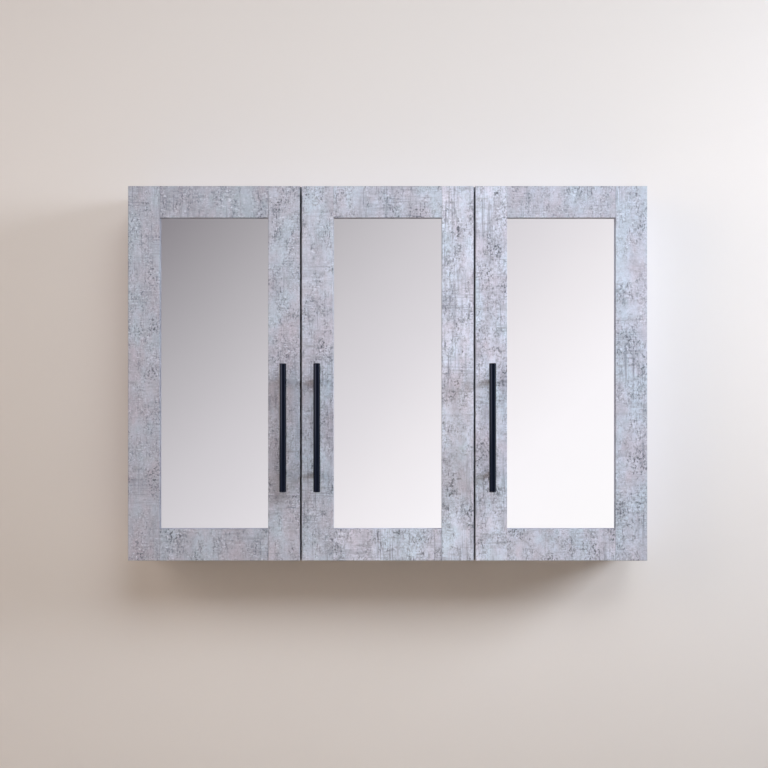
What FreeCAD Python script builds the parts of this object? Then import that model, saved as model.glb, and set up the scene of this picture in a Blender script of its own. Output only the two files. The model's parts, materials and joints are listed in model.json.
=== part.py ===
import FreeCAD, Part
import os
import re

# Wall mirror cabinet: a board case with a partition and shelves, and three mirror doors on cup hinges.
# Origin at the middle of the wall face, +X to the viewer's right, +Y into the wall, +Z up, millimetres.

sizes = {
    # Case
    "case_width": 900,
    "case_height": 650,
    "case_depth": 130,
    "panel": 16,
    "back_thickness": 3,
    "back_groove": 6,
    "back_play": 0.5,
    "wall_rail_thickness": 16,
    "wall_rail_height": 70,
    "wall_hole_span": 700,
    "wall_hole_radius": 3,
    "back_hole_radius": 4,
    # Joints of the case
    "dowel_radius": 4,
    "dowel_pitch": 64,
    "rail_dowel_pitch": 40,
    "dowel_in_panel": 11,
    "dowel_in_end": 18,
    "dowel_end_gap": 1,
    "cam_radius": 7.5,
    "cam_height": 11.5,
    "cam_from_end": 24,
    "cam_face": 3,
    "cam_slot_width": 2,
    "cam_slot_length": 10,
    "cam_slot_depth": 1.5,
    "bolt_radius": 3,
    "bolt_past_middle": 2,
    "bolt_in_panel": 10,
    # Shelves
    "shelf_thickness": 16,
    "shelf_play": 1,
    "shelf_setback": 18,
    "pin_radius": 2.5,
    "pin_shown": 7.5,
    "pin_end_gap": 0.5,
    "pin_step": 32,
    "pin_row_front": 37,
    "pin_row_rear": 30,
    # Doors
    "door_gap": 2.5,
    "door_thickness": 18,
    "door_reveal": 1,
    "door_spacing": 3,
    "stile_width": 55,
    "door_rail_width": 55,
    "front_lip": 8,
    "mirror_thickness": 4,
    "backing_thickness": 3,
    "frame_groove": 9,
    "glass_play": 1,
    "tongue_play": 0.1,
    "edge_round": 1,
    "bumper_radius": 4,
    "bumper_from_edge": 30,
    "bumper_play": 0.2,
    # Handles
    "handle_radius": 6,
    "handle_length": 220,
    "handle_pitch": 160,
    "handle_reach": 35,
    "handle_below": 93,
    "handle_chamfer": 0.8,
    "post_radius": 5,
    "post_bore": 12,
    "handle_screw_radius": 2,
    "handle_screw_grip": 10,
    "handle_head_radius": 4,
    "handle_head_height": 2.4,
    # Cup hinges
    "hinge_from_end": 100,
    "axis_in": 7,
    "axis_depth": 11,
    "axle_radius": 1,
    "axle_half": 7.5,
    "eye_wall": 0.9,
    "neck_half": 4.5,
    "neck_thickness": 2,
    "neck_reach": 12.5,
    "neck_bend": 2.5,
    "arm_start": 16,
    "arm_end": 68,
    "arm_half": 7,
    "cheek_thickness": 1.2,
    "cheek_height": 2.2,
    "cup_margin": 3,
    "cup_radius": 17.5,
    "cup_depth": 14,
    "cup_wall": 0.8,
    "lug_start": 5,
    "lug_end": 8.5,
    "lug_wall": 1.6,
    "flange_back": 6,
    "flange_front": 16,
    "flange_half": 31,
    "flange_thickness": 1,
    "cup_screw_offset": 9.5,
    "cup_screw_pitch": 48,
    "cup_screw_radius": 1.75,
    "cup_screw_length": 12,
    "cup_head_radius": 3.2,
    "cup_head_height": 1.6,
    "plate_setback": 37,
    "plate_block_front": 17,
    "plate_block_rear": 15,
    "plate_wing_half": 9,
    "plate_half": 23,
    "plate_thickness": 2,
    "plate_screw_pitch": 32,
    "plate_screw_radius": 2.5,
    "plate_screw_length": 12,
    "plate_head_radius": 4,
    "plate_head_height": 1.6,
    "arm_screw_radius": 2,
    "arm_screw_length": 6,
    "arm_head_radius": 3.5,
    "arm_head_height": 1.6,
    "recess_width": 0.9,
    "recess_length": 3.6,
    "recess_depth": 0.9,
    # Round fits
    "fit": 0.05,
    "bore_play": 0.1,
    "hole_spare": 0.5,
}

# Places that follow from the sizes
places = {
    "half_width": "case_width / 2",
    "half_height": "case_height / 2",
    "inner_width": "half_width - panel",
    "inner_height": "half_height - panel",
    "back_rear": "-wall_rail_thickness",
    "back_front": "back_rear - back_thickness",
    "mid_depth": "-case_depth / 2",
    "wall_hole_level": "inner_height - wall_rail_height / 2",
    "door_back": "-case_depth - door_gap",
    "door_front": "door_back - door_thickness",
    "door_width": "(case_width - 2 * door_reveal - 2 * door_spacing) / 3",
    "door_half": "half_height - door_reveal",
    "left_edge": "-half_width + door_reveal",
    "right_edge": "half_width - door_reveal",
    "middle_edge": "right_edge - door_width - door_spacing",
    "partition_middle": "middle_edge + door_spacing / 2",
    "partition_left": "partition_middle - panel / 2",
    "partition_right": "partition_middle + panel / 2",
    "shelf_level": "((2 * inner_height - 2 * shelf_thickness) / 3 + shelf_thickness) / 2",
    "pin_depth": "panel / 2 - pin_end_gap",
    "pin_drop": "shelf_thickness / 2 + pin_radius + fit",
    "glass_front": "door_front + front_lip",
    "glass_rear": "glass_front + mirror_thickness",
    "groove_rear": "glass_rear + backing_thickness",
    "glass_near": "stile_width - frame_groove + glass_play",
    "glass_far": "door_width - glass_near",
    "glass_half": "door_half - door_rail_width + frame_groove - glass_play",
    "handle_in": "door_width - stile_width / 2",
    "handle_axis": "door_front - handle_reach + handle_radius",
    "handle_screw_length": "door_thickness + handle_screw_grip",
    "hinge_level": "door_half - hinge_from_end",
    "axis_line": "door_back - axis_depth",
    "cup_middle": "cup_margin + cup_radius",
    "eye_radius": "axle_radius + fit + eye_wall",
    "arm_top": "neck_reach + neck_thickness",
    "plate_line": "-case_depth + plate_setback - axis_line",
    "full_overlay": "panel - door_reveal - axis_in",
    "half_overlay": "panel / 2 - door_spacing / 2 - axis_in",
}

doors = [
    {"name": "left", "side": 1, "edge": "left_edge"},
    {"name": "middle", "side": -1, "edge": "middle_edge"},
    {"name": "right", "side": -1, "edge": "right_edge"},
]

doc = FreeCAD.newDocument("MirrorCabinet")
sheet = doc.addObject("Spreadsheet::Sheet", "Sizes")
for row, (alias, number) in enumerate(sizes.items(), 1):
    sheet.set(f"A{row}", alias)
    sheet.set(f"B{row}", str(number))
    sheet.setAlias(f"B{row}", alias)
doc.recompute()

turn_none = FreeCAD.Rotation()
turn_over = FreeCAD.Rotation(FreeCAD.Vector(0, 1, 0), 180)
turn_about = FreeCAD.Rotation(FreeCAD.Vector(0, 0, 1), 180)
turn_under = FreeCAD.Rotation(FreeCAD.Vector(1, 0, 0), 180)
turn_forward = FreeCAD.Rotation(FreeCAD.Vector(0, 0, 1), 90)
directions = {
    "x": FreeCAD.Rotation(FreeCAD.Vector(0, 1, 0), 90),
    "y": FreeCAD.Rotation(FreeCAD.Vector(1, 0, 0), -90),
    "z": turn_none,
}
nodes = []


def formula(text):
    # A sheet expression, with every worked-out place written in terms of the sheet's cells
    def swap(match):
        name = match.group()
        if name in sizes:
            return "Sizes." + name
        if name in places:
            return "(" + formula(places[name]) + ")"
        return name
    return re.sub(r"[a-z][a-z_]*", swap, text)


def tie(item, prop, text):
    item.setExpression(prop, formula(text))


def put(item, x, y, z):
    for axis, text in zip("xyz", (x, y, z)):
        tie(item, "Placement.Base." + axis, text)


def block(x, y, z):
    # A box between two places along each axis
    box = doc.addObject("Part::Box", "Block")
    for prop, (low, high) in zip(("Length", "Width", "Height"), (x, y, z)):
        tie(box, prop, f"({high}) - ({low})")
    put(box, x[0], y[0], z[0])
    return box


def rod(axis, low, high, radius, across, upward):
    # A cylinder along one axis, from low to high, at the other two coordinates in order
    cylinder = doc.addObject("Part::Cylinder", "Rod")
    cylinder.Placement.Rotation = directions[axis]
    tie(cylinder, "Radius", radius)
    tie(cylinder, "Height", f"({high}) - ({low})")
    start = {"x": (low, across, upward), "y": (across, low, upward), "z": (across, upward, low)}
    put(cylinder, *start[axis])
    return cylinder


def group(items):
    compound = doc.addObject("Part::Compound", "Group")
    compound.Links = items
    return compound


def join(items):
    fuse = doc.addObject("Part::MultiFuse", "Join")
    fuse.Shapes = items
    fuse.Refine = True
    return fuse


def cut(base, tools):
    pocket = doc.addObject("Part::Cut", "Cut")
    pocket.Base = base
    pocket.Tool = group(tools)
    return pocket


def keep_inside(base, limit):
    common = doc.addObject("Part::Common", "Inside")
    common.Base = base
    common.Tool = limit
    return common


def soften(base, kind, radius, wanted):
    # A fillet or chamfer on the edges that the wanted test picks
    doc.recompute()
    amount = sheet.get(radius)
    picked = [number for number, edge in enumerate(base.Shape.Edges, 1) if wanted(edge)]
    softened = doc.addObject("Part::" + kind, kind)
    softened.Base = base
    softened.Edges = [(number, amount, amount) for number in picked]
    return softened


def copy(base, x, y, z, turn=turn_none):
    link = doc.addObject("App::Link", "Copy")
    link.LinkedObject = base
    link.LinkTransform = True
    link.Placement = FreeCAD.Placement(FreeCAD.Vector(), turn)
    put(link, x, y, z)
    return link


def node(label, item):
    item.Label = label
    nodes.append(item)
    return item


def ordered(side, low, high):
    # Two places in rising order, when a side of -1 turns them round
    return (low, high) if side > 0 else (high, low)


def at(door, distance):
    # A place across the door, measured from its hinge edge
    sign = "+" if door["side"] > 0 else "-"
    return f"{door['edge']} {sign} ({distance})"


def across(door, near, far):
    return ordered(door["side"], at(door, near), at(door, far))


def turn_of(door):
    # The hinges of a right-hung door are those of a left-hung one, turned over
    return turn_none if door["side"] > 0 else turn_over


def both(level):
    return (f"{level}", f"-({level})")


def shelf_pin_levels():
    for level in both("shelf_level"):
        for step in (-1, 0, 1):
            yield f"{level} - pin_drop + {step} * pin_step", step == 0


def shelf_pin_rows():
    return ("-case_depth + pin_row_front", "back_front - pin_row_rear")


def pin_holes(low, high):
    return [rod("x", low, high, "pin_radius + fit", row, level)
            for level, used in shelf_pin_levels() for row in shelf_pin_rows()]


def plate_screw_places():
    for level in both("hinge_level"):
        for offset in both("plate_screw_pitch / 2"):
            yield f"{level} + {offset}"


def plate_holes(low, high):
    return [rod("x", low, high, "plate_screw_radius + fit", "-case_depth + plate_setback", level)
            for level in plate_screw_places()]


def dowel_rows():
    return ("mid_depth - dowel_pitch / 2", "mid_depth + dowel_pitch / 2")


def end_dowel_places():
    # Depth and height of the dowels at one end of the case: the panels' pairs, then the wall rails' pairs
    for level in both("inner_height + panel / 2"):
        for row in dowel_rows():
            yield row, level
    for level in both("wall_hole_level"):
        for offset in both("rail_dowel_pitch / 2"):
            yield "back_rear / 2", f"{level} + {offset}"


def make_side(label, side):
    outer = f"{side} * half_width"
    inner = f"{side} * inner_width"

    def inward(depth):
        return ordered(side, inner, f"{inner} + {side} * ({depth})")

    board = block(ordered(side, inner, outer), ("-case_depth", "0"), ("-half_height", "half_height"))
    groove = block(inward("back_groove"), ("back_front", "back_rear"),
                   ("-inner_height - back_groove", "inner_height + back_groove"))
    tools = [groove]
    tools += pin_holes(*inward("pin_depth"))
    tools += plate_holes(*inward("plate_screw_length - plate_thickness + hole_spare"))
    for row, level in end_dowel_places():
        tools.append(rod("x", *inward("dowel_in_panel + dowel_end_gap"), "dowel_radius + fit", row, level))
    for level in both("inner_height + panel / 2"):
        tools.append(rod("x", *inward("bolt_in_panel"), "bolt_radius + fit", "mid_depth", level))
    return node(label, cut(board, tools))


def cam_place(side):
    return f"{side} * (inner_width - cam_from_end)"


def make_end_panel(label, side):
    # Top (side 1) and bottom (side -1) panel, between the sides
    low, high = f"{side} * inner_height", f"{side} * half_height"
    middle = f"{side} * (inner_height + panel / 2)"

    def upward(depth):
        return ordered(side, low, f"{low} + {side} * ({depth})")

    board = block(("-inner_width", "inner_width"), ("-case_depth", "0"), ordered(side, low, high))
    tools = [block(("-inner_width", "inner_width"), ("back_front", "back_rear"), upward("back_groove"))]
    for row in dowel_rows():
        depth = "dowel_in_end + dowel_end_gap"
        tools.append(rod("x", "-inner_width", f"-inner_width + {depth}", "dowel_radius + fit", row, middle))
        tools.append(rod("x", f"inner_width - ({depth})", "inner_width", "dowel_radius + fit", row, middle))
        tools.append(rod("z", *upward("dowel_in_panel + dowel_end_gap"), "dowel_radius + fit",
                         "partition_middle", row))
    channel = "bolt_radius + bore_play"
    ends = [("-inner_width", "-inner_width + cam_from_end"), ("inner_width - cam_from_end", "inner_width")]
    bores = []
    for end, (start, stop) in zip((-1, 1), ends):
        bores.append(rod("z", *upward("cam_height"), "cam_radius + fit", cam_place(end), "mid_depth"))
        bores.append(rod("x", start, stop, channel, "mid_depth", middle))
    tools.append(join(bores[:2]))
    tools.append(join(bores[2:]))
    return node(label, cut(board, tools))


def make_partition():
    board = block(("partition_left", "partition_right"), ("-case_depth", "back_front"),
                  ("-inner_height", "inner_height"))
    tools = pin_holes("partition_left", "partition_right")
    tools += plate_holes("partition_left",
                         "partition_left + plate_screw_length - plate_thickness + hole_spare")
    depth = "dowel_in_end + dowel_end_gap"
    for row in dowel_rows():
        tools.append(rod("z", f"inner_height - ({depth})", "inner_height", "dowel_radius + fit",
                         "partition_middle", row))
        tools.append(rod("z", "-inner_height", f"-inner_height + {depth}", "dowel_radius + fit",
                         "partition_middle", row))
    return node("partition", cut(board, tools))


def wall_hole_places():
    return both("wall_hole_span / 2")


def make_back():
    reach = "back_groove - back_play"
    board = block((f"-inner_width - ({reach})", f"inner_width + {reach}"), ("back_front", "back_rear"),
                  (f"-inner_height - ({reach})", f"inner_height + {reach}"))
    holes = [rod("y", "back_front", "back_rear", "back_hole_radius", place, level)
             for place in wall_hole_places() for level in both("wall_hole_level")]
    return node("back_panel", cut(board, holes))


def make_wall_rail(label, side):
    heights = ordered(side, f"{side} * (inner_height - wall_rail_height)", f"{side} * inner_height")
    board = block(("-inner_width", "inner_width"), ("back_rear", "0"), heights)
    tools = [rod("y", "back_rear", "0", "wall_hole_radius", place, f"{side} * wall_hole_level")
             for place in wall_hole_places()]
    depth = "dowel_in_end + dowel_end_gap"
    for offset in both("rail_dowel_pitch / 2"):
        level = f"{side} * wall_hole_level + {offset}"
        for low_end, high_end in (("-inner_width", f"-inner_width + {depth}"),
                                  (f"inner_width - ({depth})", "inner_width")):
            tools.append(rod("x", low_end, high_end, "dowel_radius + fit", "back_rear / 2", level))
    return node(label, cut(board, tools))


def make_dowels():
    dowels = []
    for row, level in end_dowel_places():
        for side in (-1, 1):
            ends = ordered(side, f"{side} * (inner_width - dowel_in_end)",
                           f"{side} * (inner_width + dowel_in_panel)")
            dowels.append(rod("x", *ends, "dowel_radius", row, level))
    for side in (-1, 1):
        ends = ordered(side, f"{side} * (inner_height - dowel_in_end)",
                       f"{side} * (inner_height + dowel_in_panel)")
        for row in dowel_rows():
            dowels.append(rod("z", *ends, "dowel_radius", "partition_middle", row))
    return node("case_dowels", group(dowels))


def make_cams():
    # One cam: its face at z = 0, the slot for the bolt towards +X
    body = rod("z", "0", "cam_height", "cam_radius", "0", "0")
    bolt_way = block(("-bolt_past_middle - bolt_radius", "cam_radius"),
                     ("-bolt_radius - bore_play", "bolt_radius + bore_play"), ("cam_face", "cam_height"))
    slots = join([
        block(("-cam_slot_length / 2", "cam_slot_length / 2"), ("-cam_slot_width / 2", "cam_slot_width / 2"),
              ("0", "cam_slot_depth")),
        block(("-cam_slot_width / 2", "cam_slot_width / 2"), ("-cam_slot_length / 2", "cam_slot_length / 2"),
              ("0", "cam_slot_depth"))])
    cam = cut(body, [bolt_way, slots])
    turns = {(-1, 1): turn_about, (1, 1): turn_none, (-1, -1): turn_over, (1, -1): turn_under}
    cams = [copy(cam, cam_place(side), "mid_depth", f"{up} * inner_height", turn)
            for (side, up), turn in turns.items()]
    node("cam_locks", group(cams))
    bolts = []
    for side, up in turns:
        ends = ordered(side, f"{side} * (inner_width - cam_from_end - bolt_past_middle)",
                       f"{side} * (inner_width + bolt_in_panel)")
        bolts.append(rod("x", *ends, "bolt_radius", "mid_depth", f"{up} * (inner_height + panel / 2)"))
    node("cam_bolts", group(bolts))


def make_shelves(label, low, high):
    boards = []
    for level in both("shelf_level"):
        boards.append(block((f"{low} + shelf_play", f"{high} - shelf_play"),
                            ("-case_depth + shelf_setback", "back_front - shelf_play"),
                            (f"{level} - shelf_thickness / 2", f"{level} + shelf_thickness / 2")))
    return node(label, group(boards))


def make_shelf_pins():
    bays = [("-inner_width", "partition_left"), ("partition_right", "inner_width")]
    levels = [level for level, used in shelf_pin_levels() if used]
    pins = []
    for low, high in bays:
        for level in levels:
            for row in shelf_pin_rows():
                pins.append(rod("x", f"{low} - pin_depth", f"{low} + pin_shown", "pin_radius", row, level))
                pins.append(rod("x", f"{high} - pin_shown", f"{high} + pin_depth", "pin_radius", row, level))
    return node("shelf_pins", group(pins))


def make_bumpers():
    bumpers = []
    for door in doors:
        for level in both("inner_height + panel / 2"):
            bumpers.append(rod("y", "door_back + bumper_play", "-case_depth", "bumper_radius",
                               at(door, "door_width - bumper_from_edge"), level))
    return node("door_bumpers", group(bumpers))


def on_plane(edge, axis, place):
    # True for an edge whose two ends lie at one place along one axis
    return all(abs(vertex.Point[axis] - place) < 0.001 for vertex in edge.Vertexes)


def front_edges(item):
    doc.recompute()
    front = item.Shape.BoundBox.YMin
    return lambda edge: on_plane(edge, 1, front)


def make_stiles(door):
    heights = ("-door_half", "door_half")
    depths = ("door_front", "door_back")
    slot = ("glass_front", "groove_rear")
    hinge_board = block(across(door, "0", "stile_width"), depths, heights)
    tools = [block(across(door, "stile_width - frame_groove", "stile_width"), slot, heights)]
    for level in both("hinge_level"):
        tools.append(rod("y", "door_back - cup_depth - bore_play", "door_back", "cup_radius + bore_play",
                         at(door, "cup_middle"), level))
        for offset in both("cup_screw_pitch / 2"):
            tools.append(rod("y", "door_back - cup_screw_length + flange_thickness - hole_spare", "door_back",
                             "cup_screw_radius + fit", at(door, "cup_middle + cup_screw_offset"),
                             f"{level} + {offset}"))
    hinge_stile = cut(hinge_board, tools)
    node(door["name"] + "_hinge_stile", soften(hinge_stile, "Fillet", "edge_round", front_edges(hinge_stile)))
    handle_board = block(across(door, "door_width - stile_width", "door_width"), depths, heights)
    tools = [block(across(door, "door_width - stile_width", "door_width - stile_width + frame_groove"), slot,
                   heights)]
    blank = soften(cut(handle_board, tools), "Fillet", "edge_round", front_edges(handle_board))
    holes = [rod("y", "door_front", "door_back", "handle_screw_radius + bore_play", at(door, "handle_in"),
                 f"-handle_below + {offset}") for offset in both("handle_pitch / 2")]
    node(door["name"] + "_handle_stile", cut(blank, holes))


def make_rail(door, label, side):
    # Top (side 1) or bottom (side -1) rail of a door frame, with a tongue in the groove of each stile
    def heights(low, high):
        return ordered(side, f"{side} * ({low})", f"{side} * ({high})")

    inner = "door_half - door_rail_width"
    board = block(across(door, "stile_width", "door_width - stile_width"), ("door_front", "door_back"),
                  heights(inner, "door_half"))
    groove = block(across(door, "stile_width", "door_width - stile_width"), ("glass_front", "groove_rear"),
                   heights(inner, f"{inner} + frame_groove"))
    ploughed = cut(board, [groove])
    front = front_edges(ploughed)
    rounded = soften(ploughed, "Fillet", "edge_round",
                     lambda edge: front(edge) and abs(edge.tangentAt(edge.FirstParameter).x) > 0.9)
    thickness = ("glass_front + tongue_play", "groove_rear - tongue_play")
    rise = heights(f"{inner} + frame_groove", "door_half - edge_round")
    tongues = [block(across(door, "glass_near", "stile_width"), thickness, rise),
               block(across(door, "door_width - stile_width", "glass_far"), thickness, rise)]
    return node(f"{door['name']}_{label}", join([rounded] + tongues))


def make_glass(door):
    outline = across(door, "glass_near", "glass_far")
    heights = ("-glass_half", "glass_half")
    node(door["name"] + "_mirror", block(outline, ("glass_front", "glass_rear"), heights))
    node(door["name"] + "_backing", block(outline, ("glass_rear", "groove_rear"), heights))


def make_handle(door):
    place = at(door, "handle_in")
    low, high = "-handle_below - handle_length / 2", "-handle_below + handle_length / 2"
    bar = rod("z", low, high, "handle_radius", place, "handle_axis")
    node(door["name"] + "_handle_bar",
         soften(bar, "Chamfer", "handle_chamfer", lambda edge: edge.Curve.TypeId == "Part::GeomCircle"))
    saddle = rod("z", low, high, "handle_radius + fit", place, "handle_axis")
    levels = [f"-handle_below + {offset}" for offset in both("handle_pitch / 2")]
    posts = group([rod("y", "handle_axis", "door_front", "post_radius", place, level) for level in levels])
    bores = [rod("y", "door_front - post_bore", "door_front", "handle_screw_radius + fit", place, level)
             for level in levels]
    node(door["name"] + "_handle_posts", cut(posts, [saddle] + bores))


def make_screw(size):
    # A pan-head screw along X: the head's seat at x = 0, the shank towards -X, a cross recess in the head
    head = rod("x", "0", f"{size}_head_height", f"{size}_head_radius", "0", "0")
    shank = rod("x", f"-{size}_screw_length", "0", f"{size}_screw_radius", "0", "0")
    depth = (f"{size}_head_height - recess_depth", f"{size}_head_height")
    wide, narrow = ("-recess_length / 2", "recess_length / 2"), ("-recess_width / 2", "recess_width / 2")
    cross = join([block(depth, wide, narrow), block(depth, narrow, wide)])
    return cut(join([head, shank]), [cross])


def make_handle_screws(door, screw):
    screws = [copy(screw, at(door, "handle_in"), "door_back", f"-handle_below + {offset}", turn_forward)
              for offset in both("handle_pitch / 2")]
    node(door["name"] + "_handle_screws", group(screws))


def make_cup():
    # A hinge cup: its mouth at y = 0 on the door's back, its floor towards -Y, the axle near -X
    shell = cut(rod("y", "-cup_depth", "0", "cup_radius", "0", "0"),
                [rod("y", "cup_wall - cup_depth", "0", "cup_radius - cup_wall", "0", "0")])
    sheet_metal = ("0", "flange_thickness")
    ears = block(("-flange_back", "flange_front"), sheet_metal, ("-flange_half", "flange_half"))
    openings = [rod("y", *sheet_metal, "cup_radius - cup_wall", "0", "0")]
    for offset in both("cup_screw_pitch / 2"):
        openings.append(rod("y", *sheet_metal, "cup_screw_radius + bore_play", "cup_screw_offset", offset))
    flange = cut(ears, openings)
    axle_place = "axis_in - cup_middle"
    lug_x = ("-cup_radius", f"{axle_place} + axle_radius + lug_wall")
    lug_y = ("cup_wall / 2 - cup_depth", "axle_radius + lug_wall - axis_depth")
    lugs = group([block(lug_x, lug_y, ("lug_start", "lug_end")),
                  block(lug_x, lug_y, ("-lug_end", "-lug_start"))])
    limit = rod("y", "cup_wall / 2 - cup_depth", "0", "cup_radius - cup_wall / 2", "0", "0")
    whole = join([shell, flange, keep_inside(lugs, limit)])
    return cut(whole, [rod("z", "-axle_half", "axle_half", "axle_radius + fit", axle_place, "-axis_depth")])


def make_arm():
    # A hinge arm: the axle at the origin, the neck reaching +X out of the cup, the arm running back along +Y
    half = ("-neck_half", "neck_half")
    web = ("neck_reach", "arm_top")
    ends = ("arm_start", "arm_end")
    neck = join([
        rod("z", *half, "eye_radius", "0", "0"),
        block(("0", "arm_top"), ("-neck_thickness / 2", "neck_thickness / 2"), half),
        block(web, ("-neck_thickness / 2", "arm_start"), half)])
    doc.recompute()
    corner_x = neck.Shape.BoundBox.XMax
    corner_y = -sheet.get("neck_thickness") / 2
    bent = soften(neck, "Fillet", "neck_bend",
                  lambda edge: on_plane(edge, 0, corner_x) and on_plane(edge, 1, corner_y))
    cheek = ("neck_reach - cheek_height", "arm_top")
    arm = join([
        bent,
        block(web, ends, ("-arm_half", "arm_half")),
        block(cheek, ends, ("arm_half - cheek_thickness", "arm_half")),
        block(cheek, ends, ("-arm_half", "cheek_thickness - arm_half"))])
    return cut(arm, [rod("z", *half, "axle_radius + fit", "0", "0"),
                     rod("x", *web, "arm_screw_radius + bore_play", "plate_line", "0")])


def make_plate(overlay):
    # A mounting plate on the board's face, with the block that carries the arm
    rise = (overlay, "neck_reach")
    base = (overlay, f"{overlay} + plate_thickness")
    half_block = "arm_half - cheek_thickness - bore_play"
    carrier = block(rise, ("plate_line - plate_block_front", "plate_line + plate_block_rear"),
                    (f"-({half_block})", half_block))
    wings = block(base, ("plate_line - plate_wing_half", "plate_line + plate_wing_half"),
                  ("-plate_half", "plate_half"))
    holes = [rod("x", *base, "plate_screw_radius + bore_play", "plate_line", offset)
             for offset in both("plate_screw_pitch / 2")]
    tip = "arm_top - arm_screw_length - hole_spare / 2"
    holes.append(rod("x", tip, "neck_reach", "arm_screw_radius + fit", "plate_line", "0"))
    return cut(join([carrier, wings]), holes)


def hinge_places(door):
    for level in both("hinge_level"):
        yield at(door, "axis_in"), level


def make_case_hinges():
    arm = make_arm()
    plates = {"full_overlay": make_plate("full_overlay"), "half_overlay": make_plate("half_overlay")}
    plate_screw = make_screw("plate")
    arm_screw = make_screw("arm")
    arms, carriers, plate_screws, arm_screws = [], [], [], []
    for door in doors:
        overlay = "half_overlay" if door["name"] == "middle" else "full_overlay"
        turn = turn_of(door)
        row = "axis_line + plate_line"
        for place, level in hinge_places(door):
            arms.append(copy(arm, place, "axis_line", level, turn))
            carriers.append(copy(plates[overlay], place, "axis_line", level, turn))
            arm_screws.append(copy(arm_screw, at(door, "axis_in + arm_top"), row, level, turn))
            for offset in both("plate_screw_pitch / 2"):
                plate_screws.append(copy(plate_screw, at(door, f"axis_in + {overlay} + plate_thickness"), row,
                                         f"{level} + {offset}", turn))
    node("hinge_arms", group(arms))
    node("hinge_plates", group(carriers))
    node("plate_screws", group(plate_screws))
    node("arm_screws", group(arm_screws))


def make_door_hinges(door, cup, screw):
    turn = turn_of(door)
    screw_place = at(door, "cup_middle + cup_screw_offset")
    cups, screws, axles = [], [], []
    for place, level in hinge_places(door):
        cups.append(copy(cup, at(door, "cup_middle"), "door_back", level, turn))
        ends = (f"{level} - axle_half", f"{level} + axle_half")
        axles.append(rod("z", *ends, "axle_radius", place, "axis_line"))
        for offset in both("cup_screw_pitch / 2"):
            screws.append(copy(screw, screw_place, "door_back + flange_thickness", f"{level} + {offset}",
                               turn_forward))
    node(door["name"] + "_hinge_cups", group(cups))
    node(door["name"] + "_cup_screws", group(screws))
    node(door["name"] + "_hinge_axles", group(axles))


make_side("left_side", -1)
make_side("right_side", 1)
make_end_panel("top_panel", 1)
make_end_panel("bottom_panel", -1)
make_partition()
make_back()
make_wall_rail("hanging_rail", 1)
make_wall_rail("lower_rail", -1)
make_shelves("left_shelves", "-inner_width", "partition_left")
make_shelves("right_shelves", "partition_right", "inner_width")
make_shelf_pins()
make_dowels()
make_cams()
make_bumpers()
make_case_hinges()

handle_screw = make_screw("handle")
cup_screw = make_screw("cup")
hinge_cup = make_cup()
for door in doors:
    make_stiles(door)
    make_rail(door, "top_rail", 1)
    make_rail(door, "bottom_rail", -1)
    make_glass(door)
    make_handle(door)
    make_handle_screws(door, handle_screw)
    make_door_hinges(door, hinge_cup, cup_screw)

doc.recompute()
for item in doc.Objects:
    faults = {"Invalid", "Error"} & set(item.State)
    if faults:
        raise RuntimeError(f"{item.Label} could not be made: {sorted(faults)}")
for item in nodes:
    if item.Shape.isNull() or not item.Shape.isValid():
        raise RuntimeError(f"{item.Label} has no valid shape")

os.makedirs("parts", exist_ok=True)
for item in nodes:
    item.Shape.exportStep(f"parts/{item.Label}.step")
    print(f"{item.Label}: {len(item.Shape.Solids)} solids, {item.Shape.Volume / 1000:.1f} cm3")
print(len(nodes), "pieces written")
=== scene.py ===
# Looks of the wall-hung mirror cabinet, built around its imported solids. Lengths are in metres.
import json
import math
import bpy
import bmesh
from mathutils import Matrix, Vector

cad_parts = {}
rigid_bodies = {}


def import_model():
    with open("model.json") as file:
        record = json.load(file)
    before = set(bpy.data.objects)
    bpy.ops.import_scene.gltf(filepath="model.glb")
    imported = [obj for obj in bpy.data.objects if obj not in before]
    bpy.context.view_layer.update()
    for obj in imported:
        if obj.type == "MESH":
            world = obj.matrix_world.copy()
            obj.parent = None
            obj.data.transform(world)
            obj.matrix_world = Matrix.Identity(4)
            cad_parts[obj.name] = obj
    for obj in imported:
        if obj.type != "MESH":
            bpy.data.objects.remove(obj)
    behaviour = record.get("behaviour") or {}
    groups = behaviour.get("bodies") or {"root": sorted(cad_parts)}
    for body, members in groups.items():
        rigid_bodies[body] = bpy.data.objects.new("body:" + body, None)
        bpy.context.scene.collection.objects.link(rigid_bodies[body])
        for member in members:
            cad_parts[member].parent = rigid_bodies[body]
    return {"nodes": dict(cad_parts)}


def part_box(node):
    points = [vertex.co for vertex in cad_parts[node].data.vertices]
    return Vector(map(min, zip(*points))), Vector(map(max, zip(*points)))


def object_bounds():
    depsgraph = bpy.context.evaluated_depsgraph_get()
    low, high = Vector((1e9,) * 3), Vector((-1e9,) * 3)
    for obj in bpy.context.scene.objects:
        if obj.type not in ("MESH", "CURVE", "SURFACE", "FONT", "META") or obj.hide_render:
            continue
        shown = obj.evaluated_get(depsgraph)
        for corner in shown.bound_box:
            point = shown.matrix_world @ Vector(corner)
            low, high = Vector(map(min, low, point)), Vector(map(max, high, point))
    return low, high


for startObject in list(bpy.data.objects):  # the start file's own cube, lamp and camera
    bpy.data.objects.remove(startObject)
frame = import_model()
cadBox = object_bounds()
cadNodes = frame["nodes"]
scene = bpy.context.scene
scene.view_settings.view_transform = "Standard"
mm = 0.001
print("frame loaded,", len(cadNodes), "nodes")


def linear(hexColour):
    channels = [int(hexColour[i:i + 2], 16) / 255 for i in (1, 3, 5)]
    return [c / 12.92 if c <= 0.04045 else ((c + 0.055) / 1.055) ** 2.4 for c in channels] + [1.0]


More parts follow.
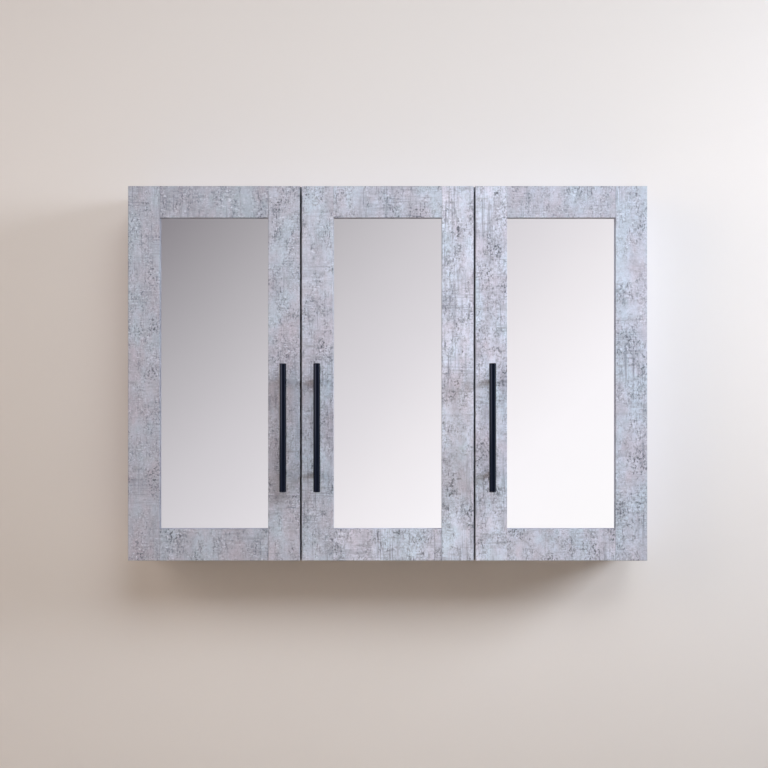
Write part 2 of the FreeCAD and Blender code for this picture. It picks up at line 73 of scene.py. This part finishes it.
# Adds a node. Inputs take a value or another node's socket, and stops fill a colour ramp.
def addNode(tree, kind, inputs=None, stops=None, **settings):
    node = tree.nodes.new(kind)
    for key, value in settings.items():
        setattr(node, key, value)
    for key, value in (inputs or {}).items():
        if isinstance(value, bpy.types.NodeSocket):
            tree.links.new(value, node.inputs[key])
        else:
            node.inputs[key].default_value = value
    for number, (place, colour) in enumerate(stops or []):
        points = node.color_ramp.elements
        point = points[number] if number < len(points) else points.new(place)
        point.position = place
        point.color = linear(colour)
    return node


def newMaterial(name):
    material = bpy.data.materials.new(name)
    material.use_nodes = True
    material.node_tree.nodes.clear()
    return material, material.node_tree


def dress(material, *names):
    for name in names:
        cadNodes[name].data.materials.clear()
        cadNodes[name].data.materials.append(material)


# Camera, square on to the doors and a little below their middle

camera = {
    "place": (-0.0063, -2.4505, -0.0184),
    "lens": 62.35,  # mm, on a 36 mm sensor
    "sensor": 36.0,
}

cameraData = bpy.data.cameras.new("camera")
cameraData.lens = camera["lens"]
cameraData.sensor_width = camera["sensor"]
cameraObject = bpy.data.objects.new("camera", cameraData)
cameraObject.location = camera["place"]
cameraObject.rotation_euler = (math.radians(90), 0, 0)
scene.collection.objects.link(cameraObject)
scene.camera = cameraObject
print("camera placed")


# Wall and floor

stage = {
    "wallGap": 0.002,  # behind the cabinet's back
    "wallHalfWidth": 6.0,
    "wallTop": 4.5,
    "openingInset": 0.004,  # the wall is open behind the cabinet, this far inside its outline, to light its back
    "floorHeight": -1.15,
    "floorDepth": 6.0,
    "wallColour": "#e4dfdc",
    "floorColour": "#eeddc6",
    "stipple": {"size": 9.0, "height": 0.3, "strength": 0.04, "detail": 2.0},  # size and height in mm
    # where the lamps leave the stage dim, the eye and the mirrors see this colour on it, with a share that begins and
    # is full at these distances from the middle
    "shownColour": "#e6e1da",
    "wallShown": {"share": 0.94, "ends": (0.8, 1.7)},
    "floorShown": {"share": 0.6, "ends": (-1.0, 0.0)},  # full everywhere
}


# Matt emulsion paint: pale, with the faint unevenness of a roller.
def rolledPaint(name, colour, shownPaler):
    material, tree = newMaterial(name)
    coords = addNode(tree, "ShaderNodeTexCoord")
    roller = stage["stipple"]
    stipple = addNode(tree, "ShaderNodeTexNoise", {"Vector": coords.outputs["Object"],
                                                   "Scale": 1 / (roller["size"] * mm), "Detail": roller["detail"]})
    bump = addNode(tree, "ShaderNodeBump", {"Height": stipple.outputs[0], "Strength": roller["strength"],
                                            "Distance": roller["height"] * mm})
    paint = addNode(tree, "ShaderNodeBsdfDiffuse", {"Color": linear(colour), "Normal": bump.outputs[0]})

    place = addNode(tree, "ShaderNodeSeparateXYZ", {0: coords.outputs["Object"]})
    away = addNode(tree, "ShaderNodeMath", {0: place.outputs["X"]}, operation="ABSOLUTE")
    begins, full = shownPaler["ends"]
    share = addNode(tree, "ShaderNodeMapRange", {"Value": away.outputs[0], "From Min": begins, "From Max": full,
                                                 "To Max": shownPaler["share"]})
    rays = addNode(tree, "ShaderNodeLightPath")
    looked = addNode(tree, "ShaderNodeMath", {0: rays.outputs["Is Camera Ray"], 1: rays.outputs["Is Glossy Ray"]},
                     operation="MAXIMUM")
    through = addNode(tree, "ShaderNodeMath", {0: looked.outputs[0], 1: rays.outputs["Is Transmission Ray"]},
                      operation="MAXIMUM")
    paler = addNode(tree, "ShaderNodeMath", {0: through.outputs[0], 1: share.outputs[0]}, operation="MULTIPLY")
    pale = addNode(tree, "ShaderNodeEmission", {0: linear(stage["shownColour"]), 1: 1.0})
    shown = addNode(tree, "ShaderNodeMixShader", {0: paler.outputs[0], 1: paint.outputs[0], 2: pale.outputs[0]})
    return material, tree, shown.outputs[0]


def stagePlane(name, corners, material, opening=None):
    shape = bmesh.new()
    shape.faces.new([shape.verts.new(corner) for corner in corners])
    if opening:
        for corner in opening:
            for normal in ((1, 0, 0), (0, 0, 1)):
                bmesh.ops.bisect_plane(shape, geom=shape.verts[:] + shape.edges[:] + shape.faces[:], plane_co=corner,
                                       plane_no=normal)
        low, high = opening
        behind = [face for face in shape.faces if low.x < face.calc_center_median().x < high.x
                  and low.z < face.calc_center_median().z < high.z]
        bmesh.ops.delete(shape, geom=behind, context="FACES")
    mesh = bpy.data.meshes.new(name)
    shape.to_mesh(mesh)
    shape.free()
    mesh.materials.append(material)
    plane = bpy.data.objects.new(name, mesh)
    scene.collection.objects.link(plane)


wide = stage["wallHalfWidth"]
wallY = stage["wallGap"]
floorZ = stage["floorHeight"]
inset = Vector((stage["openingInset"], 0, stage["openingInset"]))

# the wall's rear is clear, so that the cabinet's back can be looked at
material, tree, paint = rolledPaint("wallPaint", stage["wallColour"], stage["wallShown"])
face = addNode(tree, "ShaderNodeNewGeometry")
clear = addNode(tree, "ShaderNodeBsdfTransparent")
oneSided = addNode(tree, "ShaderNodeMixShader", {0: face.outputs["Backfacing"], 1: paint, 2: clear.outputs[0]})
addNode(tree, "ShaderNodeOutputMaterial", {"Surface": oneSided.outputs[0]})
stagePlane("wall", [(-wide, wallY, floorZ), (wide, wallY, floorZ), (wide, wallY, stage["wallTop"]),
                    (-wide, wallY, stage["wallTop"])], material, (cadBox[0] + inset, cadBox[1] - inset))

material, tree, paint = rolledPaint("floorPaint", stage["floorColour"], stage["floorShown"])
addNode(tree, "ShaderNodeOutputMaterial", {"Surface": paint})
stagePlane("floor", [(-wide, -stage["floorDepth"], floorZ), (wide, -stage["floorDepth"], floorZ),
                     (wide, wide, floorZ), (-wide, wide, floorZ)], material)
print("wall and floor placed")


# Lamps: a wide soft box with a grid above the camera, a smaller one to the right and a warm one to the left

lamps = {
    "overheadBox": {"place": (0.54, -2.07, 1.48), "aim": (-0.03, -0.1, 0.26), "size": (2.0, 1.3), "spread": 59,
                    "power": 5.2, "colour": "#f8fcff"},
    "rightBox": {"place": (2.04, -0.97, 0.59), "aim": (-0.26, -0.1, -0.43), "size": (0.8, 0.8), "spread": 138,
                 "power": 26.5, "colour": "#ecf4ff"},
    "leftFill": {"place": (-1.77, -1.77, 0.57), "aim": (0.49, -0.1, -0.15), "size": (1.6, 1.6), "spread": 157,
                 "power": 17.4, "colour": "#fff0e6"},
}

for lampName, lamp in lamps.items():
    lampData = bpy.data.lights.new(lampName, "AREA")
    lampData.shape = "RECTANGLE"
    lampData.size, lampData.size_y = lamp["size"]
    lampData.energy = lamp["power"]
    lampData.spread = math.radians(lamp["spread"])
    lampData.color = linear(lamp["colour"])[:3]
    lampObject = bpy.data.objects.new(lampName, lampData)
    lampObject.location = lamp["place"]
    aimed = Vector(lamp["aim"]) - lampObject.location
    lampObject.rotation_euler = aimed.to_track_quat("-Z", "Y").to_euler()
    scene.collection.objects.link(lampObject)

room = {
    "ambient": "#f5f4f5",
    "ambientFront": 0.02,
    "ambientBehind": 0.9,  # reaches the cabinet's back through the wall's opening, and nothing in front of it
    "behindFull": 0.3,  # share of the direction towards the wall at which that light is full
    "backdrop": "#e9e5e3",
    # what duller surfaces see of the studio, from left to right by sideways direction: a tall soft box on each side
    "boxes": [(0.0, "#8d94b4"), (0.12, "#bac4ec"), (0.32, "#d0daff"), (0.45, "#bac4ec"), (0.52, "#303344"),
              (0.62, "#14151e"), (0.74, "#303344"), (0.83, "#a8b2d6"), (0.92, "#d0daff"), (1.0, "#a8b2d6")],
    # what mirrors see of it, from high left to low right, by sideways minus upward direction
    "seenSpan": (-0.5, 0.5),
    "seen": [(0.0, "#b4b2b6"), (0.1, "#97959a"), (0.18, "#878488"), (0.22, "#8f8c90"), (0.33, "#b7b5b8"),
             (0.42, "#d0ced1"), (0.5, "#e0dee1"), (0.57, "#efedef"), (0.66, "#fcfbfd"), (0.76, "#ffffff")],
}

world = bpy.data.worlds.new("studio")
world.use_nodes = True
world.node_tree.nodes.clear()
scene.world = world
tree = world.node_tree
coords = addNode(tree, "ShaderNodeTexCoord")
direction = addNode(tree, "ShaderNodeSeparateXYZ", {0: coords.outputs["Generated"]})
slant = addNode(tree, "ShaderNodeMath", {0: direction.outputs["X"], 1: direction.outputs["Z"]}, operation="SUBTRACT")
place = addNode(tree, "ShaderNodeMapRange", {"Value": slant.outputs[0], "From Min": room["seenSpan"][0],
                                             "From Max": room["seenSpan"][1]})
seen = addNode(tree, "ShaderNodeValToRGB", {0: place.outputs[0]}, room["seen"])
rays = addNode(tree, "ShaderNodeLightPath")
glossy = addNode(tree, "ShaderNodeMath", {0: rays.outputs["Is Glossy Ray"], 1: rays.outputs["Is Transmission Ray"]},
                 operation="MAXIMUM")
behind = addNode(tree, "ShaderNodeMapRange", {"Value": direction.outputs["Y"], "From Max": room["behindFull"],
                                              "To Min": room["ambientFront"], "To Max": room["ambientBehind"]})
ambient = addNode(tree, "ShaderNodeBackground", {0: linear(room["ambient"]), 1: behind.outputs[0]})
sideways = addNode(tree, "ShaderNodeMapRange", {"Value": direction.outputs["X"], "From Min": -1.0, "From Max": 1.0})
boxes = addNode(tree, "ShaderNodeValToRGB", {0: sideways.outputs[0]}, room["boxes"])
reflected = addNode(tree, "ShaderNodeMix", {0: rays.outputs["Is Singular Ray"], 6: boxes.outputs[0],
                                            7: seen.outputs[0]}, data_type="RGBA")
studio = addNode(tree, "ShaderNodeBackground", {0: reflected.outputs[2], 1: 1.0})
backdrop = addNode(tree, "ShaderNodeBackground", {0: linear(room["backdrop"]), 1: 1.0})
lit = addNode(tree, "ShaderNodeMixShader", {0: glossy.outputs[0], 1: ambient.outputs[0], 2: studio.outputs[0]})
shown = addNode(tree, "ShaderNodeMixShader", {0: rays.outputs["Is Camera Ray"], 1: lit.outputs[0],
                                              2: backdrop.outputs[0]})
addNode(tree, "ShaderNodeOutputWorld", {0: shown.outputs[0]})
print("lamps and room light set")


# Concrete-look laminate: a printed paper under matt, lightly textured resin. The eye sees a pale blue-grey print with
# slightly darker and warmer worn patches, dark dashes and trowel streaks along and across a board, grit in clusters
# and a few smudges. The finest marks are drawn about 3 mm wide, coarser than printed, so that they show.

laminate = {
    # size in mm across and along the board, and where in its noise a layer begins and is full
    "layers": {
        "worn": {"size": (46.0, 90.0), "detail": 5.0, "rough": 0.6, "span": (0.62, 0.38)},
        "mauve": {"size": (17.0, 30.0), "detail": 3.0, "rough": 0.55, "span": (0.48, 0.66)},
        "greenish": {"size": (19.0, 26.0), "detail": 3.0, "rough": 0.55, "span": (0.5, 0.68), "turned": True},
        "busy": {"size": (21.0, 36.0), "detail": 4.0, "rough": 0.6, "span": (0.43, 0.6)},
        "trowel": {"size": (24.0, 48.0), "detail": 4.0, "rough": 0.65, "span": (0.4, 0.68)},
        "grain": {"size": (2.7, 2.7), "detail": 1.0, "rough": 0.5, "span": (0.48, 0.7)},
        "fleck": {"size": (2.9, 5.0), "detail": 2.0, "rough": 0.6, "span": (0.52, 0.72), "turned": True},
        "combed": {"size": (60.0, 110.0), "detail": 3.0, "rough": 0.55, "span": (0.46, 0.62)},
        "streak": {"size": (2.7, 62.0), "detail": 2.0, "rough": 0.55, "span": (0.5, 0.68)},
        "crossed": {"size": (60.0, 110.0), "detail": 3.0, "rough": 0.55, "span": (0.48, 0.62), "turned": True},
        "crossStreak": {"size": (2.7, 62.0), "detail": 2.0, "rough": 0.55, "span": (0.5, 0.68), "turned": True},
        "smudged": {"size": (55.0, 80.0), "detail": 2.0, "rough": 0.55, "span": (0.46, 0.66)},
        "smudge": {"size": (8.0, 34.0), "detail": 5.0, "rough": 0.75, "span": (0.52, 0.68), "turned": True},
        "dash": {"size": (2.9, 9.0), "detail": 3.0, "rough": 0.7, "span": (0.52, 0.68)},
        "crossDash": {"size": (2.9, 9.0), "detail": 3.0, "rough": 0.7, "span": (0.53, 0.69), "turned": True},
        "gritty": {"size": (30.0, 42.0), "detail": 3.0, "rough": 0.6, "span": (0.5, 0.66)},
        "grit": {"size": (3.4, 4.2), "detail": 2.0, "rough": 0.5, "span": (0.5, 0.64)},
    },
    "ground": [(0.0, "#cbd6e4"), (0.35, "#ccd1e0"), (0.65, "#cccddb"), (1.0, "#cbc7d4")],  # smooth to worn
    # each mark's layer, the layer that gathers it, its share outside and inside that, and its colour
    "marks": [
        ("mauve", "worn", 0.25, 0.45, "#c3b9c4"),
        ("greenish", "worn", 0.28, 0.16, "#b6c1c9"),
        ("trowel", "worn", 0.29, 0.41, "#878a97"),
        ("grain", "busy", 0.15, 0.46, "#686b7a"),
        ("fleck", "busy", 0.25, 0.65, "#f0f4ff"),
        ("streak", "combed", 0.0, 0.7, "#808492"),
        ("crossStreak", "crossed", 0.0, 0.5, "#808492"),
        ("smudge", "smudged", 0.0, 0.65, "#808089"),
        ("dash", "busy", 0.2, 0.9, "#5a5d6a"),
        ("crossDash", "busy", 0.1, 0.6, "#5a5d6a"),
        ("grit", "gritty", 0.0, 0.85, "#484b56"),
    ],
    "relief": {"raised": "fleck", "sunk": "grit", "height": 0.1, "strength": 0.3},  # height in mm
    # painted shade: the edge band is darker than the face, standing in for the shade in the door gaps and mirror
    # recesses, and a line along each board's outline is darker too, partly a dark joint line and partly painted shade
    # at the gaps and recesses: mm from a board's outline to which each is full, mm at which it ends, and its share
    "edgeShadeColour": "#34353b",
    "edgeBandShade": {"full": 0.04, "end": 0.1, "share": 0.42},
    "jointLineAndEdgeShade": {"full": 0.52, "end": 1.3, "share": 0.2},
    "roughness": (0.46, 0.62),
    "ior": 1.5,
    "step": (0.83, 0.31, 0.57),  # from one board's place in the print to the next one's, in metres
}


# The two letters of axes are the length and the width of the print.
def concreteLaminate(name, node, axes, shift, toneAndShade):
    material, tree = newMaterial(name)
    low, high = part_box(node)
    along, across = ["xyz".index(letter) for letter in axes]
    coords = addNode(tree, "ShaderNodeTexCoord")
    centred = addNode(tree, "ShaderNodeMapping", {"Vector": coords.outputs["Object"], "Location": -(low + high) / 2})
    spot = addNode(tree, "ShaderNodeMapping", {"Vector": centred.outputs[0], "Location": shift})

    layers = {}
    for layerName, layer in laminate["layers"].items():
        scale = [1 / (layer["size"][0] * mm)] * 3
        scale[across if layer.get("turned") else along] = 1 / (layer["size"][1] * mm)
        stretched = addNode(tree, "ShaderNodeMapping", {"Vector": spot.outputs[0], "Scale": scale})
        noise = addNode(tree, "ShaderNodeTexNoise", {"Vector": stretched.outputs[0], "Scale": 1.0,
                                                     "Detail": layer["detail"], "Roughness": layer["rough"]})
        spread = addNode(tree, "ShaderNodeMapRange", {"Value": noise.outputs[0], "From Min": layer["span"][0],
                                                      "From Max": layer["span"][1]})
        layers[layerName] = spread.outputs[0]

    ground = addNode(tree, "ShaderNodeValToRGB", {0: layers["worn"]}, laminate["ground"])
    # the print's lightness, which on the door members is partly painted shade
    tonedAndShaded = addNode(tree, "ShaderNodeMix", {0: 1.0, 6: ground.outputs[0], 7: (toneAndShade, toneAndShade, toneAndShade, 1.0)},
                    data_type="RGBA", blend_type="MULTIPLY")
    printed = tonedAndShaded.outputs[2]
    for layerName, gathered, outside, inside, colour in laminate["marks"]:
        most = addNode(tree, "ShaderNodeMapRange", {"Value": layers[gathered], "To Min": outside, "To Max": inside})
        share = addNode(tree, "ShaderNodeMath", {0: layers[layerName], 1: most.outputs[0]}, operation="MULTIPLY")
        layers[layerName] = share.outputs[0]
        mark = addNode(tree, "ShaderNodeMix", {0: share.outputs[0], 6: printed, 7: linear(colour)}, data_type="RGBA")
        printed = mark.outputs[2]

    place = addNode(tree, "ShaderNodeSeparateXYZ", {0: coords.outputs["Object"]})
    insets = []
    for axis in (along, across):
        offset = addNode(tree, "ShaderNodeMath", {0: place.outputs[axis], 1: low[axis]}, operation="SUBTRACT")
        inset = addNode(tree, "ShaderNodeMath", {0: offset.outputs[0], 1: (high - low)[axis] / 2},
                        operation="PINGPONG")
        insets.append(inset.outputs[0])
    nearest = addNode(tree, "ShaderNodeMath", {0: insets[0], 1: insets[1]}, operation="MINIMUM")
    # painted shade: the narrow sides and a line along the outline are mixed toward the dark edge colour
    shades = []
    for edge in (laminate["edgeBandShade"], laminate["jointLineAndEdgeShade"]):
        shade = addNode(tree, "ShaderNodeMapRange", {"Value": nearest.outputs[0], "From Min": edge["full"] * mm,
                                                     "From Max": edge["end"] * mm, "To Min": edge["share"],
                                                     "To Max": 0.0})
        shades.append(shade.outputs[0])
    darkest = addNode(tree, "ShaderNodeMath", {0: shades[0], 1: shades[1]}, operation="MAXIMUM")
    shadedEdges = addNode(tree, "ShaderNodeMix", {0: darkest.outputs[0], 6: printed, 7: linear(laminate["edgeShadeColour"])},
                  data_type="RGBA")

    relief = laminate["relief"]
    height = addNode(tree, "ShaderNodeMath", {0: layers[relief["raised"]], 1: layers[relief["sunk"]]},
                     operation="SUBTRACT")
    bump = addNode(tree, "ShaderNodeBump", {"Height": height.outputs[0], "Strength": relief["strength"],
                                            "Distance": relief["height"] * mm})
    gloss = addNode(tree, "ShaderNodeMapRange", {"Value": layers["worn"], "To Min": laminate["roughness"][0],
                                                 "To Max": laminate["roughness"][1]})
    surface = addNode(tree, "ShaderNodeBsdfPrincipled", {
        "Base Color": shadedEdges.outputs[2], "Roughness": gloss.outputs[0], "IOR": laminate["ior"],
        "Normal": bump.outputs[0]})
    addNode(tree, "ShaderNodeOutputMaterial", {"Surface": surface.outputs[0]})
    return material


# the axes of each board's print, and the lightness of its print: one for the case, and on the door members partly the
# print's tone differing from board to board and partly painted shade, the left door darker and the right lighter to
# stand in for the lamps' fall-off
caseTone = 1.05
caseBoards = {
    "left_side": "zy", "right_side": "zy", "top_panel": "xy", "bottom_panel": "xy", "partition": "zy",
    "hanging_rail": "xz", "lower_rail": "xz", "left_shelves": "xy", "right_shelves": "xy",
}
memberAxes = "zx"
# painted shade: the left door's members are darker and the right door's lighter, on top of the print's own tone
memberTonesAndShade = {
    "left_hinge_stile": 0.80, "left_handle_stile": 0.89, "left_top_rail": 0.74, "left_bottom_rail": 0.85,
    "middle_hinge_stile": 1.28, "middle_handle_stile": 0.99, "middle_top_rail": 0.97, "middle_bottom_rail": 1.22,
    "right_hinge_stile": 1.01, "right_handle_stile": 1.23, "right_top_rail": 0.96, "right_bottom_rail": 1.10,
}
boards = [(name, axes, caseTone) for name, axes in caseBoards.items()]
boards += [(name, memberAxes, toneAndShade) for name, toneAndShade in memberTonesAndShade.items()]
for number, (name, axes, toneAndShade) in enumerate(boards):
    shift = [number * step for step in laminate["step"]]
    dress(concreteLaminate(f"concreteLaminate_{name}", name, axes, shift, toneAndShade), name)
print("laminate boards dressed")


doors = ["left", "middle", "right"]


# Silvered float glass: a clean reflection with the faint waves of drawn glass, a little duller where it was wiped.

mirrorGlass = {
    "colours": ("#fbf9fb", "#fdfbfd"),
    "haze": {"size": 60.0, "detail": 3.0},  # size and height in mm
    "waves": {"size": 90.0, "detail": 0.0, "height": 0.004},
}

material, tree = newMaterial("silveredGlass")
coords = addNode(tree, "ShaderNodeTexCoord")
wiped, drawn = mirrorGlass["haze"], mirrorGlass["waves"]
haze = addNode(tree, "ShaderNodeTexNoise", {"Vector": coords.outputs["Object"], "Scale": 1 / (wiped["size"] * mm),
                                            "Detail": wiped["detail"]})
tint = addNode(tree, "ShaderNodeMix", {0: haze.outputs[0], 6: linear(mirrorGlass["colours"][0]),
                                       7: linear(mirrorGlass["colours"][1])}, data_type="RGBA")
waves = addNode(tree, "ShaderNodeTexNoise", {"Vector": coords.outputs["Object"], "Scale": 1 / (drawn["size"] * mm),
                                             "Detail": drawn["detail"]})
bump = addNode(tree, "ShaderNodeBump", {"Height": waves.outputs[0], "Strength": 1.0,
                                        "Distance": drawn["height"] * mm})
silver = addNode(tree, "ShaderNodeBsdfPrincipled", {"Base Color": tint.outputs[2], "Metallic": 1.0,
                                                    "Roughness": 0.0, "Normal": bump.outputs[0]})
addNode(tree, "ShaderNodeOutputMaterial", {"Surface": silver.outputs[0]})
dress(material, *[f"{door}_mirror" for door in doors])
print("mirrors dressed")


# Finishes of the smaller pieces: each has two colours, a grain in mm, a roughness range and a bump depth in mm.

grainSpan = (0.3, 0.7)  # part of the noise's range that the colours and the roughness take up
grainStrength = 0.5
grainDetail = 3.0
finishes = {
    # satin powder coat on steel: fine orange peel that breaks the highlight
    "blackPowderCoat": {"colours": ("#04060c", "#070a14"), "grain": (0.9, 0.9, 0.9), "roughness": (0.1, 0.18),
                        "bump": 0.01, "metallic": 0.0, "ior": 1.43, "glossTint": "#c8d2f0"},
    # bright nickel on pressed steel: faint draw lines from the press
    "nickelPlate": {"colours": ("#bdb9b2", "#d2cec7"), "grain": (0.7, 9.0, 0.7), "roughness": (0.2, 0.34),
                    "bump": 0.01, "metallic": 1.0},
    # die-cast zinc: dull, slightly mottled
    "zincCasting": {"colours": ("#8f9193", "#b0b1b2"), "grain": (1.4, 1.4, 1.4), "roughness": (0.38, 0.55),
                    "bump": 0.03, "metallic": 1.0},
    # thin hardboard with a sprayed grey face: short fibres show through
    "paintedHardboard": {"colours": ("#b4b6bb", "#c1c3c8"), "grain": (3.0, 3.0, 7.0), "roughness": (0.5, 0.66),
                         "bump": 0.05, "metallic": 0.0, "ior": 1.48},
    # turned beech dowel: short flecks along the rod
    "turnedBeech": {"colours": ("#b88d5f", "#d6b083"), "grain": (9.0, 0.8, 0.8), "roughness": (0.5, 0.65),
                    "bump": 0.05, "metallic": 0.0, "ior": 1.45},
    # clear polyurethane dot: soft and slightly milky
    "clearBumper": {"colours": ("#e2e3e0", "#eff0ee"), "grain": (2.0, 2.0, 2.0), "roughness": (0.18, 0.3),
                    "bump": 0.01, "metallic": 0.0, "ior": 1.49, "clear": 0.7},
}


def finish(name, look):
    material, tree = newMaterial(name)
    coords = addNode(tree, "ShaderNodeTexCoord")
    stretched = addNode(tree, "ShaderNodeMapping", {"Vector": coords.outputs["Object"],
                                                    "Scale": [1 / (size * mm) for size in look["grain"]]})
    grain = addNode(tree, "ShaderNodeTexNoise", {"Vector": stretched.outputs[0], "Scale": 1.0,
                                                 "Detail": grainDetail})
    spread = addNode(tree, "ShaderNodeMapRange", {"Value": grain.outputs[0], "From Min": grainSpan[0],
                                                  "From Max": grainSpan[1]})
    tint = addNode(tree, "ShaderNodeMix", {0: spread.outputs[0], 6: linear(look["colours"][0]),
                                           7: linear(look["colours"][1])}, data_type="RGBA")
    gloss = addNode(tree, "ShaderNodeMapRange", {"Value": spread.outputs[0], "To Min": look["roughness"][0],
                                                 "To Max": look["roughness"][1]})
    bump = addNode(tree, "ShaderNodeBump", {"Height": grain.outputs[0], "Strength": grainStrength,
                                            "Distance": look["bump"] * mm})
    surface = addNode(tree, "ShaderNodeBsdfPrincipled", {
        "Base Color": tint.outputs[2], "Roughness": gloss.outputs[0], "Metallic": look["metallic"],
        "IOR": look.get("ior", 1.5), "Transmission Weight": look.get("clear", 0.0), "Normal": bump.outputs[0],
        "Specular Tint": linear(look.get("glossTint", "#ffffff"))})
    addNode(tree, "ShaderNodeOutputMaterial", {"Surface": surface.outputs[0]})
    return material


made = {name: finish(name, look) for name, look in finishes.items()}
for door in doors:
    dress(made["blackPowderCoat"], f"{door}_handle_bar", f"{door}_handle_posts")
    dress(made["nickelPlate"], f"{door}_handle_screws", f"{door}_hinge_cups", f"{door}_cup_screws",
          f"{door}_hinge_axles")
    dress(made["paintedHardboard"], f"{door}_backing")
dress(made["nickelPlate"], "hinge_arms", "hinge_plates", "plate_screws", "arm_screws", "shelf_pins")
dress(made["zincCasting"], "cam_locks", "cam_bolts")
dress(made["paintedHardboard"], "back_panel")
dress(made["turnedBeech"], "case_dowels")
dress(made["clearBumper"], "door_bumpers")
print("hardware dressed")
